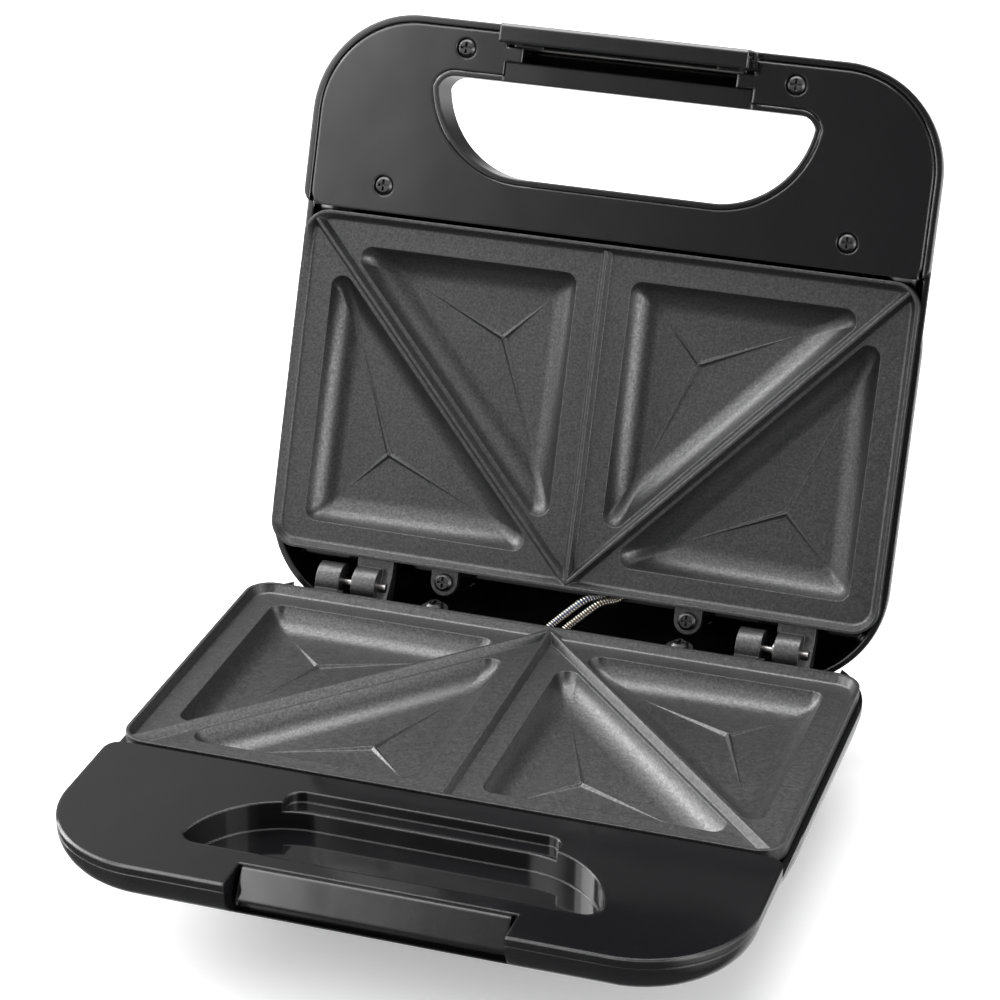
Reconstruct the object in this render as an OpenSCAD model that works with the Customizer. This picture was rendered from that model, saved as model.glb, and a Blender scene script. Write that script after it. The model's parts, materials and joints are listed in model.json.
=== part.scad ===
// Two-slice sandwich toaster, lid open past upright against its stop.
// Drawn as if shut, in a frame with z = 0 where the two plates meet and y = 0 at their rear
// edge, x = 0 in the middle; the lid is then turned open about the hinge pins.
// placed() moves everything so that it stands on z = 0. Lengths are mm, +Z is up, -Y is the front.

/* [Plates] */
// width over the raised rim
plate_w = 216.4; // [200:0.2:230]
// depth over the raised rim
plate_d = 118.2; // [110:0.2:130]
// corner radius of the rim
plate_r = 9; // [7:0.5:12]
// width of the rim's flat top
rim_w = 1.1; // [0.8:0.1:2]
// depth of the field below the rim
field_drop = 3; // [2:0.1:3.5]
// depth of the pocket floors below the rim
pocket_drop = 10; // [8:0.1:11]
// thickness of the cast wall
cast_t = 3.8; // [3:0.1:4.5]
// half width of the land between the two front pockets
centre_land = 9.5; // [8:0.1:14]
// land between the front pockets and the front edge
front_land = 11; // [9:0.1:16]
// land between the rear pockets and the side edges
side_land = 11; // [9:0.1:15]
// land between the rear pockets and the rear edge
rear_land = 9.9; // [9:0.1:15]
// distance of the pockets from a diagonal ridge
ridge_land = 3.1; // [2.6:0.1:7]
// slope width of the pocket walls
pocket_slope = 9.5; // [7:0.1:11]

/* [Shells] */
// shell outside the plate rim, each side
side_margin = 1.9; // [1.5:0.1:4]
// length of the handle part in front of the plates
handle_l = 69.8; // [64:0.2:80]
// length behind the plates
rear_l = 21; // [19:0.5:24]
// corner radius in plan
shell_r = 36; // [32:0.5:40]
// depth of a shell under the plates
shell_deep = 40; // [38:0.5:46]
// depth of the handle part
handle_deep = 15.5; // [14.5:0.1:17]
// wall of the mouldings
wall = 2.2; // [1.8:0.1:2.6]
// drop of the shell rim beside the plates
rim_drop = 5; // [4.8:0.1:6.5]

/* [Grip and latch] */
// half length of the straight edge of the grip opening
grip_half = 66.2; // [60:0.2:70]
// depth of the grip opening, front to back
grip_d = 32.4; // [28:0.2:34]
// handle bar in front of the grip opening
grip_bar = 19.2; // [18.6:0.1:22]
// depth of the grip pocket in the base
pocket_deep = 9.5; // [8:0.1:10.5]
// half width of the latch notch
notch_half = 43.5; // [38:0.5:48]
// swing of the latch
latch_swing = 22; // [15:1:24]

/* [Hinge] */
// hinge pin behind the plates
axis_y = 9.5; // [9.5:0.1:11]
// hinge pin below the plane where the plates meet
axis_drop = 0.9; // [0:0.1:1.5]
// outer radius of a knuckle
knuckle_r = 6.5; // [5.5:0.1:7]
// hinge pin radius
pin_r = 1.5; // [1.3:0.05:2]
// hinge centres from the middle
hinge_x = 75; // [65:0.5:80]
// opening of the lid from shut
open_deg = 110.4; // [95:0.1:112]

/* [Feet and screws] */
// height of a rubber foot
foot_h = 3.5; // [3:0.1:6]
// radius of a rubber foot
foot_r = 7.5; // [6:0.1:8]
// screw shank radius
screw_r = 1.45; // [1.3:0.05:1.6]
// screw head radius
head_r = 3.1; // [2.8:0.1:3.3]

/* [Wire springs] */
// wire of the springs
spring_wire = 0.44; // [0.4:0.01:0.5]
// outer diameter of a spring
spring_d = 3; // [2.8:0.1:3.2]
// turns of each spring
spring_turns = 38; // [36:1:42]

/* [Hidden] */
$fn = 48;
eps = 0.01;

// fits
run_fit = 0.05;
shell_gap = 0.3;
meet_gap = 0.1;
seam = 0.4;

// outline of both shells, plates at y = -plate_d..0
half_w = plate_w / 2 + side_margin;
front_y = -(plate_d + handle_l);
rear_y = rear_l;
step_y = -plate_d - 1.4;
axis_z = -axis_drop;

// grip opening and latch
grip_front = front_y + grip_bar;
grip_rear = grip_front + grip_d;
notch_y = front_y + 12.6;
relief_half = 44;
relief_d = 6.2;
relief_deep = 3.5;

// rolled lower edges: vertical start, curl, and draft per mm of depth
tub_front = -plate_d - 12;
tub_start = 8;
tub_curl = 20;
tub_draft = 0.2;
grip_start = 3.2;
grip_curl = 14;
roll_step = 10;

// feet stand on low bosses, whose lowest face is boss_h under the shell
boss_h = 1;
foot_x = 64;
foot_front_y = -92;
foot_rear_y = 3;
rim_h = shell_deep + boss_h + foot_h;

// middle of the object from front to back, with the lid open
back_reach = opened_pt([0, front_y + 8.3, 14.4])[1];
mid_y = -(front_y + back_reach) / 2;

// heater loop
heater_r = 3.2;
heater_z = -(pocket_drop + cast_t + heater_r) - 0.2;
heater_bend = 12;
heater_x = plate_w / 2 - 24.2;
heater_front = -plate_d + 12;
heater_rear = -14;
heater_end_x = 38;

// reflector tray under the heater
tray_t = 0.8;
tray_z = heater_z - heater_r - 1.6;
tray_half = plate_w / 2 - 12.6;
tray_front = -plate_d + 5;
tray_rear = -8;
post_y = [-88, -30];
post_r = 3.5;

// plate lugs at the rear
lug_x = 43.6;
lug_y = 4.5;
lug_r = 4.7;
lug_z = -2.4;
lug_t = 2.8;

screw_l = 9;
head_h = 1.9;
// place of each screw of the lid's cover, and the depth of its boss
lid_screws = [[57.6, front_y + 9.4, 12.6], [81.5, -plate_d - 10.6, 14]];
base_screws = [[78, front_y + 25], [90, -plate_d - 18]];

// hinge: base knuckle on the left, lid knuckle on the right of each centre
base_knuckle = [-12, -3.5];
lid_knuckle = [1, 9.5];
bracket_to = 13;

gland_x = -58;
gland_z = -27;
gland_r = 5.4;
cord_r = 3.5;
gland_y = [6, 19];
block_at = [-50, -24, -shell_deep + wall + 0.2];
thermostat_y = -59;
ear_x = 9.1;
lamp_x = 14;
lamp_y = -70;
lens_r = 4.5;

// latch
latch_axis = [front_y + 7, 11.5];
latch_pin_r = 1.25;
latch_half = notch_half - 0.6;
hook_z = -9.4;
hook_t = 2;
nose_y = front_y + 5.4;
nose_z = -9;

black = [0.02, 0.02, 0.025];
nonstick = [0.16, 0.16, 0.17];
steel = [0.72, 0.72, 0.74];
sheet = [0.78, 0.79, 0.8];
rubber = [0.05, 0.05, 0.05];

// ---------- placing ----------
module placed()
    translate([0, mid_y, rim_h]) children();

module opened()
    translate([0, axis_y, axis_z]) rotate([-open_deg, 0, 0]) translate([0, -axis_y, -axis_z]) children();

// from the shut lid to the open lid, for one point
function opened_pt(p) = [
    p[0],
    axis_y + (p[1] - axis_y) * cos(open_deg) + (p[2] - axis_z) * sin(open_deg),
    axis_z - (p[1] - axis_y) * sin(open_deg) + (p[2] - axis_z) * cos(open_deg)
];

module both_sides()
    for (side = [0, 1]) mirror([side, 0, 0]) children();

// the lid's own pieces are the base's turned over
module turned_over()
    mirror([0, 0, 1]) children();

// rounded rectangle in plan, half width hx, from y0 to y1
module plan(hx, y0, y1, r) {
    translate([-hx + r, y0]) square([2 * hx - 2 * r, y1 - y0]);
    translate([-hx, y0 + r]) square([2 * hx, y1 - y0 - 2 * r]);
    for (x = [-hx + r, hx - r], y = [y0 + r, y1 - r]) translate([x, y]) circle(r);
}

module slab(hx, y0, y1, r, z0, z1)
    translate([0, 0, z0]) linear_extrude(z1 - z0) plan(hx, y0, y1, r);

// bar along x between two x values, of a y-z outline
module along_x(x0, x1, points)
    translate([x0, 0, 0]) rotate([90, 0, 90]) linear_extrude(x1 - x0) polygon(points);

module rod_x(x0, x1, y, z, r)
    translate([x0, y, z]) rotate([0, 90, 0]) cylinder(r = r, h = x1 - x0);

module rod(a, b, r) {
    d = b - a;
    translate(a) rotate([0, acos(d[2] / norm(d)), atan2(d[1], d[0])]) cylinder(r = r, h = norm(d));
}

// insulated wire through a list of points
module wire(points, r)
    swept(lead_line(points), r, 6);

// ---------- shell form ----------
// the rolled edge of a shell, from depth top to deep, as points of inset and height
function roll_points(top, start, deep, curl, draft, inset) =
    concat([[inset, -top]], [
        for (a = [0:roll_step:90])
            let (down = (deep - start) * sin(a))
            [inset + draft * down + curl * (1 - cos(a)), -start - down]
    ]);

function grip_roll(top, inset, thin) =
    roll_points(top, grip_start, handle_deep - thin, grip_curl, 0, inset);

function tub_roll(top, inset, thin) =
    roll_points(top, tub_start, shell_deep - thin, tub_curl, tub_draft, inset);

// quarter of a round corner with the rolled edge
module rolled_corner(x, y, a, roll, r)
    translate([x, y, 0]) rotate([0, 0, a]) rotate_extrude(angle = 90)
        polygon(concat([[0, roll[0][1]]], [for (p = roll) [r - p[0], p[1]]], [[0, roll[len(roll) - 1][1]]]));

// rolled-under tray shape between two lines y0 and y1, round corners at the front, and behind if wanted
module rolled(y0, y1, roll, round_rear, half = half_w, r = shell_r) {
    x = half - r;
    low = roll[len(roll) - 1][1];
    rear = round_rear ? y1 - r : y1;
    back = [for (i = [len(roll) - 1:-1:0]) [y1 - roll[i][0], roll[i][1]]];
    across = concat([for (p = roll) [y0 + p[0], p[1]]], round_rear ? back : [[y1, low], [y1, roll[0][1]]]);
    along_x(-x, x, across);
    translate([0, rear, 0]) rotate([90, 0, 0]) linear_extrude(rear - y0 - r) both_sides()
        polygon(concat([[x - 1, roll[0][1]]], [for (p = roll) [half - p[0], p[1]]], [[x - 1, low]]));
    rolled_corner(x, y0 + r, 270, roll, r);
    rolled_corner(-x, y0 + r, 180, roll, r);
    if (round_rear) {
        rolled_corner(x, rear, 0, roll, r);
        rolled_corner(-x, rear, 90, roll, r);
    }
}

module shell_form(top, inset, thin) {
    rolled(front_y, tub_front + shell_r + 1, grip_roll(top, inset, thin), false);
    rolled(tub_front, rear_y, tub_roll(top, inset, thin), true);
}

// inset of the tub's wall at a depth, for pieces that follow it
function tub_inset(depth) =
    let (a = asin(max(0, (depth - tub_start) / (shell_deep - tub_start))))
    tub_draft * max(0, depth - tub_start) + tub_curl * (1 - cos(a));

end_r = 5;

// open-topped housing shared by base and lid, the handle part's rim this far down
module housing(rim) {
    difference() {
        shell_form(rim, 0, 0);
        shell_form(-1, wall, wall);
        translate([-half_w - 1, step_y, -rim_drop]) cube([2 * half_w + 2, rear_y - step_y + 2, rim_drop + 2]);
        // round end of the handle part
        both_sides() difference() {
            translate([half_w - end_r, step_y - end_r, -rim_drop]) cube([end_r + 1, end_r + 1, rim_drop + 2]);
            translate([half_w - end_r, step_y - end_r, -rim_drop - 1]) cylinder(r = end_r, h = rim_drop + 4);
        }
    }
    partition();
}

// half width of the tub at the partition, for an angle of the rolled edge
partition_y = 1;
partition_t = 2;
partition_top = tub_depth(12);
function tub_depth(a) = tub_start + (shell_deep - tub_start) * sin(a);
function partition_half(a) =
    let (r = shell_r - 1 - tub_inset(tub_depth(a)), y = partition_y + partition_t - rear_y + shell_r)
    half_w - shell_r + sqrt(max(0, r * r - y * y));

// wall behind the plate that closes the heater space
module partition()
    translate([0, partition_y + partition_t, 0]) rotate([90, 0, 0]) linear_extrude(partition_t)
        both_sides() polygon(concat(
            [[0, -partition_top], [partition_half(12), -partition_top]],
            [for (a = [16:8:48]) [partition_half(a), -tub_depth(a)]],
            [[0, -tub_depth(48)]]
        ));

// grip outline, straight edge to the front
module grip_outline(grow) {
    intersection() {
        union() {
            for (x = [-1, 1]) translate([x * (grip_half - grip_d), grip_front]) circle(grip_d + grow);
            translate([-grip_half + grip_d, grip_front - grow])
                square([2 * (grip_half - grip_d), grip_d + 2 * grow]);
        }
        plan(grip_half + grow, grip_front - grow, grip_rear + 10, 6 + grow);
    }
}

// ---------- screws ----------
module screw(length) {
    difference() {
        union() {
            cylinder(r = head_r, h = head_h * 0.6);
            translate([0, 0, head_h * 0.6]) cylinder(r1 = head_r, r2 = head_r * 0.72, h = head_h * 0.4);
        }
        for (a = [0, 90])
            rotate([0, 0, a]) translate([-head_r * 0.62, -0.45, head_h * 0.35])
                cube([head_r * 1.24, 0.9, head_h]);
    }
    translate([0, 0, -length]) cylinder(r = screw_r, h = length + eps);
}

// ---------- plate casting, as the lower plate ----------
diag_from = [0, -1.7];
diag_to = [plate_w / 2 - rim_w - 2.6, -plate_d + rim_w + 2];
diag_u = (diag_to - diag_from) / norm(diag_to - diag_from);
diag_n = [diag_u[1], -diag_u[0]];

// where a line parallel to the diagonal ridge crosses x or y
function diag_y(x, off) = diag_from[1] + (off - (x - diag_from[0]) * diag_n[0]) / diag_n[1];
function diag_x(y, off) = diag_from[0] + (off - (y - diag_from[1]) * diag_n[1]) / diag_n[0];

pocket_front_y = -plate_d + front_land;
pocket_side_x = plate_w / 2 - side_land;
front_pocket = [
    [centre_land, pocket_front_y],
    [diag_x(pocket_front_y, ridge_land), pocket_front_y],
    [centre_land, diag_y(centre_land, ridge_land)]
];
rear_pocket = [
    [pocket_side_x, -rear_land],
    [pocket_side_x, diag_y(pocket_side_x, -ridge_land)],
    [diag_x(-rear_land, -ridge_land), -rear_land]
];
pockets = [front_pocket, rear_pocket];

function side_of(t, i) = norm(t[(i + 1) % 3] - t[(i + 2) % 3]);
function perimeter(t) = side_of(t, 0) + side_of(t, 1) + side_of(t, 2);
function incentre(t) = (side_of(t, 0) * t[0] + side_of(t, 1) * t[1] + side_of(t, 2) * t[2]) / perimeter(t);
function twice_area(t) =
    abs((t[1][0] - t[0][0]) * (t[2][1] - t[0][1]) - (t[2][0] - t[0][0]) * (t[1][1] - t[0][1]));
function inradius(t) = twice_area(t) / perimeter(t);
// the triangle with its sides moved in
function shrunk(t, by) = [for (p = t) incentre(t) + (p - incentre(t)) * (1 - by / inradius(t))];

corner_top = 4.2;
corner_floor = 1.6;
// a pocket wall curves in from this angle at the land to level at the floor
wall_angle = 2 * atan((pocket_drop - field_drop) / pocket_slope);
// share of the depth and of the slope width for each layer of a pocket wall
pocket_layers = [
    for (i = [6:-1:0])
        let (a = wall_angle * i / 6)
        [1 - (1 - cos(a)) / (1 - cos(wall_angle)), 1 - sin(a) / sin(wall_angle)]
];

module pocket_hollow(t)
    hull() {
        for (l = pocket_layers) {
            z = -field_drop - (pocket_drop - field_drop) * l[0];
            r = corner_top + (corner_floor - corner_top) * l[0];
            for (p = shrunk(t, r + pocket_slope * l[1]))
                translate([p[0], p[1], z]) cylinder(r = r, h = l[1] == 0 ? 1 : eps, $fn = 36);
        }
    }

// stepped back of a pocket: rim inset and depth of each step
pocket_back_steps = [[-1.2, 9.4], [3, 13.4]];

module pocket_back(t)
    for (l = pocket_back_steps)
        translate([0, 0, -l[1]]) linear_extrude(l[1] - field_drop - 2) polygon(shrunk(t, l[0]));

ridge_foot = 1.9;
ridge_top = 0.5;
ridge_drop = 0.4;

module ridge(from, to) {
    d = to - from;
    translate([from[0], from[1], 0]) rotate([90, 0, atan2(d[1], d[0]) + 90]) linear_extrude(norm(d))
        polygon([[-ridge_foot, -field_drop - 0.2], [-ridge_top, -ridge_drop],
            [ridge_top, -ridge_drop], [ridge_foot, -field_drop - 0.2]]);
}

// three raised creases on a pocket floor, from its middle towards the corners
crease_share = 0.56;
crease_half = 1.9;
crease_h = 0.95;

// each crease sinks into the floor towards its end
module creases(t)
    for (i = [0:2]) {
        d = t[i] - incentre(t);
        reach = norm(d) * crease_share;
        h = crease_h + 0.04 * i;
        translate([incentre(t)[0], incentre(t)[1], -pocket_drop])
            rotate([0, atan(h / reach), atan2(d[1], d[0])]) translate([-0.6, 0, 0]) rotate([90, 0, 90])
                linear_extrude(reach + 0.5) polygon([[-crease_half, -0.8], [0, h], [crease_half, -0.8]]);
    }

module lug()
    difference() {
        translate([0, 0, lug_z - lug_t]) linear_extrude(lug_t) {
            translate([0, lug_y]) circle(lug_r);
            translate([-lug_r, -4]) square([2 * lug_r, lug_y + 4]);
        }
        translate([0, lug_y, lug_z - lug_t - 1]) cylinder(r = screw_r + run_fit, h = lug_t + 2);
    }

// saddle that the heater lies in, turned by a
module saddle(x, y, a)
    translate([x, y, 0]) rotate([0, 0, a]) difference() {
        translate([-4.5, -4.5, heater_z - 0.6]) cube([9, 9, -field_drop - 2.5 - heater_z]);
        rod_x(-6, 6, 0, heater_z, heater_r + run_fit);
    }

// inner side of the raised rim, sloping to the field
rim_slope = [[rim_w, 1], [rim_w, -0.3], [rim_w + 0.3, -0.8], [rim_w + 1.5, -field_drop + 0.3],
    [rim_w + 2.1, -field_drop]];

module casting() {
    difference() {
        union() {
            slab(plate_w / 2, -plate_d, 0, plate_r, -rim_drop + 0.4, -meet_gap / 2);
            slab(plate_w / 2 - 2.9, -plate_d + 2.9, -2.9, plate_r - 2, -field_drop - cast_t, -rim_drop + 0.5);
            both_sides() for (t = pockets) pocket_back(t);
            for (y = post_y) translate([0, y, tray_z + tray_t]) cylinder(r = post_r, h = -tray_z - 5);
            for (x = [-ear_x, ear_x]) translate([x, thermostat_y, -12]) cylinder(r = 2.6, h = 7);
            both_sides() {
                saddle(heater_x, -60, 90);
                saddle(50, heater_front, 0);
                lug_at() lug();
            }
        }
        rolled(-plate_d, 0, rim_slope, true, plate_w / 2, plate_r);
        both_sides() for (t = pockets) pocket_hollow(t);
        for (y = post_y) translate([0, y, tray_z - 1]) cylinder(r = screw_r + run_fit, h = 11);
        for (x = [-ear_x, ear_x]) translate([x, thermostat_y, -13]) cylinder(r = screw_r + run_fit, h = 5.5);
    }
    ridge([0, -plate_d + rim_w + 1], diag_from);
    both_sides() {
        ridge(diag_to, diag_from);
        for (t = pockets) creases(t);
    }
}

module lug_at()
    translate([lug_x, 0, 0]) children();

// knuckle, arm and flange on the rear edge, z up to the meeting plane
module knuckle(x0, x1, flange_x0, flange_x1, bore, axis_at) {
    difference() {
        union() {
            rod_x(x0, x1, axis_y, axis_at, knuckle_r);
            along_x(x0, x1, [[-1, -0.8], [-1, -4.6], [3, -4.8], [axis_y, axis_at - knuckle_r + 0.2],
                [axis_y, axis_at], [4, -0.8]]);
        }
        rod_x(x0 - 1, x1 + 1, axis_y, axis_at, bore);
    }
    translate([flange_x0, -1, -4.6]) cube([flange_x1 - flange_x0, 4.4, 3.6]);
}

module lower_plate() color(nonstick) placed() {
    casting();
    for (c = [-hinge_x, hinge_x])
        knuckle(c + base_knuckle[0], c + base_knuckle[1], c + base_knuckle[0], c + base_knuckle[1] + 2,
            pin_r, axis_z);
}

module upper_plate() color(nonstick) placed() opened() turned_over() {
    casting();
    for (c = [-hinge_x, hinge_x]) {
        knuckle(c + lid_knuckle[0], c + lid_knuckle[1], c, c + bracket_to, pin_r + run_fit, -axis_z);
        // square bracket that closes the knuckle's end
        difference() {
            along_x(c + lid_knuckle[1] - eps, c + bracket_to, [[-1, -0.8], [-1, -4.6], [3, -5],
                [axis_y - 2, -axis_z - knuckle_r + 0.6], [axis_y + 4, -axis_z - knuckle_r + 0.6],
                [axis_y + 4, -axis_z + 2], [5, -0.8]]);
            rod_x(c, c + bracket_to - 0.8, axis_y, -axis_z, pin_r + run_fit);
        }
    }
}

module plate_screws()
    both_sides() translate([lug_x, lug_y, lug_z + 0.05]) screw(screw_l);

module lower_plate_screws() color(steel) placed() plate_screws();
module upper_plate_screws() color(nonstick) placed() opened() turned_over() plate_screws();

// ---------- heater and reflector ----------
module bend(x, y, a, r)
    translate([x, y, heater_z]) rotate([0, 0, a]) rotate_extrude(angle = 90)
        translate([heater_bend, 0]) circle(r);

module heater_loop(r) {
    b = heater_bend;
    both_sides() {
        rod([heater_end_x, -3, heater_z], [heater_end_x, heater_rear, heater_z], r);
        bend(heater_end_x + b, heater_rear, 180, r);
        rod([heater_end_x + b, heater_rear - b, heater_z], [heater_x - b, heater_rear - b, heater_z], r);
        bend(heater_x - b, heater_rear - 2 * b, 0, r);
        rod([heater_x, heater_rear - 2 * b, heater_z], [heater_x, heater_front + b, heater_z], r);
        bend(heater_x - b, heater_front + b, 270, r);
    }
    rod([-heater_x + b, heater_front, heater_z], [heater_x - b, heater_front, heater_z], r);
}

module heater() {
    heater_loop(heater_r);
    both_sides() translate([heater_end_x - 2, -3.1, heater_z - 0.4]) cube([4, 3.4, 0.8]);
}

module lower_heater() color(steel) placed() heater();
module upper_heater() color(steel) placed() opened() turned_over() heater();

module tray_walls()
    difference() {
        slab(tray_half, tray_front, tray_rear, 4, tray_z, heater_z + 6);
        slab(tray_half - tray_t, tray_front + tray_t, tray_rear - tray_t, 4 - tray_t, tray_z + tray_t, 0);
        both_sides() translate([heater_end_x - 5, tray_rear - 3, heater_z - 5]) cube([10, 6, 20]);
        for (y = post_y) translate([0, y, tray_z - 1]) cylinder(r = screw_r + 0.2, h = 3);
        for (x = [-30:12:30]) translate([x - 1.5, -52, tray_z - 1]) cube([3, 16, 3]);
        // way through for the wires
        translate([-5.05, thermostat_y - 21.5, tray_z - 1]) cylinder(r = 2.3, h = 3);
        translate([3, tray_rear - 3, heater_z + 2]) cube([9, 6, 20]);
    }

module lower_reflector() color(sheet) placed() tray_walls();
module upper_reflector() color(sheet) placed() opened() turned_over() tray_walls();

module tray_screws()
    for (y = post_y) translate([0, y, tray_z - 0.05]) rotate([180, 0, 0]) screw(screw_l);

module lower_reflector_screws() color(steel) placed() tray_screws();
module upper_reflector_screws() color(steel) placed() opened() turned_over() tray_screws();

// ---------- electrical pieces of the base ----------
module thermostat() color([0.82, 0.8, 0.74]) placed() {
    difference() {
        union() {
            translate([0, thermostat_y, -17.3]) cylinder(r = 5.8, h = 10.4);
            translate([-ear_x - 3, thermostat_y - 3.5, -12.9]) cube([2 * ear_x + 6, 7, 0.8]);
        }
        for (x = [-ear_x, ear_x]) translate([x, thermostat_y, -14]) cylinder(r = screw_r + 0.2, h = 3);
    }
    for (x = [-4, 4]) translate([x - 1.5, thermostat_y - 9, -17]) cube([3, 4, 0.8]);
}

module thermostat_screws() color(steel) placed()
    for (x = [-ear_x, ear_x]) translate([x, thermostat_y, -12.95]) rotate([180, 0, 0]) screw(5);

module thermal_fuse() color([0.85, 0.82, 0.7]) placed() {
    rod([-6, thermostat_y - 15, -10.5], [6, thermostat_y - 15, -10.5], 2);
    for (x = [-1, 1]) rod([x * 5.9, thermostat_y - 15, -10.5], [x * 9, thermostat_y - 15, -10.5], 0.5);
}

module terminal_block() color([0.9, 0.9, 0.86]) placed() translate(block_at) {
    difference() {
        translate([-15, -6, 0]) cube([30, 12, 10.5]);
        for (x = [-10, 0, 10]) {
            translate([x, -7, 5.5]) rotate([-90, 0, 0]) cylinder(r = 1.5, h = 14);
            translate([x, 3, 5]) cylinder(r = 1.4, h = 6);
            translate([x, -3, 5]) cylinder(r = 1.4, h = 6);
        }
    }
}

function block_hole(i, rear) = block_at + [10 * i, rear ? 5.6 : -5.6, 5.5];

module thermostat_wire() color([0.5, 0.3, 0.1]) placed()
    wire([block_hole(1, false), [-40, -45, -34], [-14, -76, -30], [-5.5, thermostat_y - 21, -23.6],
        [-5.5, thermostat_y - 21, -16.5], [-4, thermostat_y - 9.3, -16.6]], 0.9);

module neutral_wire() color([0.1, 0.2, 0.5]) placed()
    wire([block_hole(-1, true), [-62, -12, -31], [-52, -3.5, -26], [-heater_end_x - 4, -2.2, heater_z]], 0.9);

module live_wire() color([0.5, 0.3, 0.1]) placed()
    wire([[9.1, thermostat_y - 15, -10.5], [11.2, thermostat_y - 15, -10.6], [12.2, thermostat_y - 11, -15.2],
        [15.4, thermostat_y, -15.6], [5.2, -30, -15.4], [9, -6, -12.2], [heater_end_x - 4.5, -2.5, heater_z]], 0.9);

module cord_gland() color(rubber) placed() translate([gland_x, 0, gland_z]) rotate([-90, 0, 0])
    difference() {
        union() {
            translate([0, 0, gland_y[0] - 2.2]) cylinder(r = gland_r + 1.6, h = 2.2 - 0.1);
            translate([0, 0, gland_y[0] - 0.2]) cylinder(r = gland_r, h = gland_y[1] - gland_y[0] + 0.2);
            translate([0, 0, gland_y[1] - 1.9]) cylinder(r = gland_r + 1.9, h = 1.9);
        }
        translate([0, 0, -10]) cylinder(r = cord_r, h = 60);
    }

// ---------- base housing ----------
base_boss_r = 5;

module base_shell() color(black) placed() difference() {
    union() {
        housing(base_rim);
        catch_bar();
        notch_walls(true);
        for (x = [-foot_x, foot_x], y = [foot_front_y, foot_rear_y])
            translate([x, y, -shell_deep - boss_h]) cylinder(r = foot_r + 1, h = boss_h + wall + 5);
        both_sides() {
            for (p = base_screws) translate([p[0], p[1], -handle_deep + 0.8]) cylinder(r = base_boss_r, h = 5);
            plate_boss();
            stop_pad();
        }
        translate([gland_x, gland_y[0], gland_z]) rotate([-90, 0, 0])
            cylinder(r = gland_r + 3, h = gland_y[1] - gland_y[0] - 2);
    }
    base_notch();
    both_sides() for (p = base_screws) translate([p[0], p[1], -handle_deep - 1]) {
        cylinder(r = head_r + 0.4, h = 4.4);
        cylinder(r = screw_r + 0.2, h = 12);
    }
    plate_boss_holes();
    for (x = [-foot_x, foot_x], y = [foot_front_y, foot_rear_y])
        translate([x, y, -shell_deep - boss_h - 1]) cylinder(r = 2.45, h = 14);
    // lowered rear wall, which the open lid turns into
    translate([-rear_cut, axis_y - 5, -rear_cut_drop]) cube([2 * rear_cut, 20, 30]);
    translate([gland_x, -20, gland_z]) rotate([-90, 0, 0]) cylinder(r = gland_r + run_fit, h = 60);
    translate([gland_x, 0, gland_z]) rotate([-90, 0, 0]) cylinder(r = gland_r + 1.9, h = gland_y[0]);
    translate([gland_x, gland_y[1] - 2, gland_z]) rotate([-90, 0, 0]) cylinder(r = gland_r + 2.1, h = 10);
    bottom_slots();
}

rear_cut = half_w - 12;
stop_depth = 12;
// the point of the open lid's rear wall that comes down on the base
stop_at = opened_pt([0, rear_y - tub_inset(stop_depth), stop_depth]);
stop_drop = -stop_at[2] + 0.3;
rear_cut_drop = stop_drop + 2.9;

module stop_pad()
    translate([50, stop_at[1] - 1, -stop_drop - 6]) cube([12, 1.6, 6]);

// boss under a plate lug, down to the rolled wall
plate_boss_deep = 36;

module plate_boss()
    translate([lug_x, lug_y, -plate_boss_deep]) cylinder(r = 3.6, h = plate_boss_deep + lug_z - lug_t - 0.2);

module plate_boss_holes()
    both_sides() translate([lug_x, lug_y, lug_z - lug_t - screw_l])
        cylinder(r = screw_r + run_fit, h = screw_l + 2);

// sloping bar that the latch snaps under
module catch_bar()
    along_x(-notch_half + 1.6, notch_half - 1.6, [[notch_y - 2.2, -handle_deep + 1.5], [notch_y - 2.2, nose_z],
        [nose_y, nose_z], [nose_y, nose_z + 0.8], [nose_y + 5.8, -0.6], [notch_y, -0.6],
        [notch_y, -handle_deep + 1.5]]);

// the handle part in front of y_to, as an outline seen from the side
module lip_profile(inset, top, y_to)
    intersection() {
        polygon(concat([[front_y + 25, -top]], [for (p = grip_roll(top, inset, inset)) [front_y + p[0], p[1]]],
            [[front_y + 25, -handle_deep + inset]]));
        translate([front_y - 1, -handle_deep - 1]) square([y_to - front_y + 1, handle_deep + 3]);
    }

module lip_bar(x0, x1, inset, top, y_to)
    translate([x0, 0, 0]) rotate([90, 0, 90]) linear_extrude(x1 - x0) lip_profile(inset, top, y_to);

// walls at the ends of the latch notch, and behind it in the lid
module notch_walls(in_base) {
    both_sides() lip_bar(notch_half, notch_half + 3, 0.5, base_rim + 0.1, notch_y + 2.4);
    if (!in_base) translate([-notch_half - 1, notch_y, -handle_deep + 0.4])
        cube([2 * notch_half + 2, 2.4, handle_deep - 3.5]);
}

module base_notch()
    along_x(-notch_half, notch_half, [[front_y - 2, 2], [front_y - 2, -handle_deep + 2.3],
        [notch_y - 2.4, -handle_deep + 2.3], [notch_y - 2.4, nose_z - 0.1], [nose_y - 0.1, nose_z - 0.1],
        [nose_y - 0.1, nose_z + 0.8], [nose_y + 5.7, -0.5], [nose_y + 5.7, 2]]);

module bottom_slots()
    both_sides() for (x = [8:9:62], y = [-88, -44])
        translate([x, y, -shell_deep - 1]) cube([3, 26, wall + 3]);

module base_cover_screws() color(steel) placed()
    both_sides() for (p = base_screws)
        translate([p[0], p[1], -handle_deep + 3.35]) rotate([180, 0, 0]) screw(screw_l);

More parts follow.
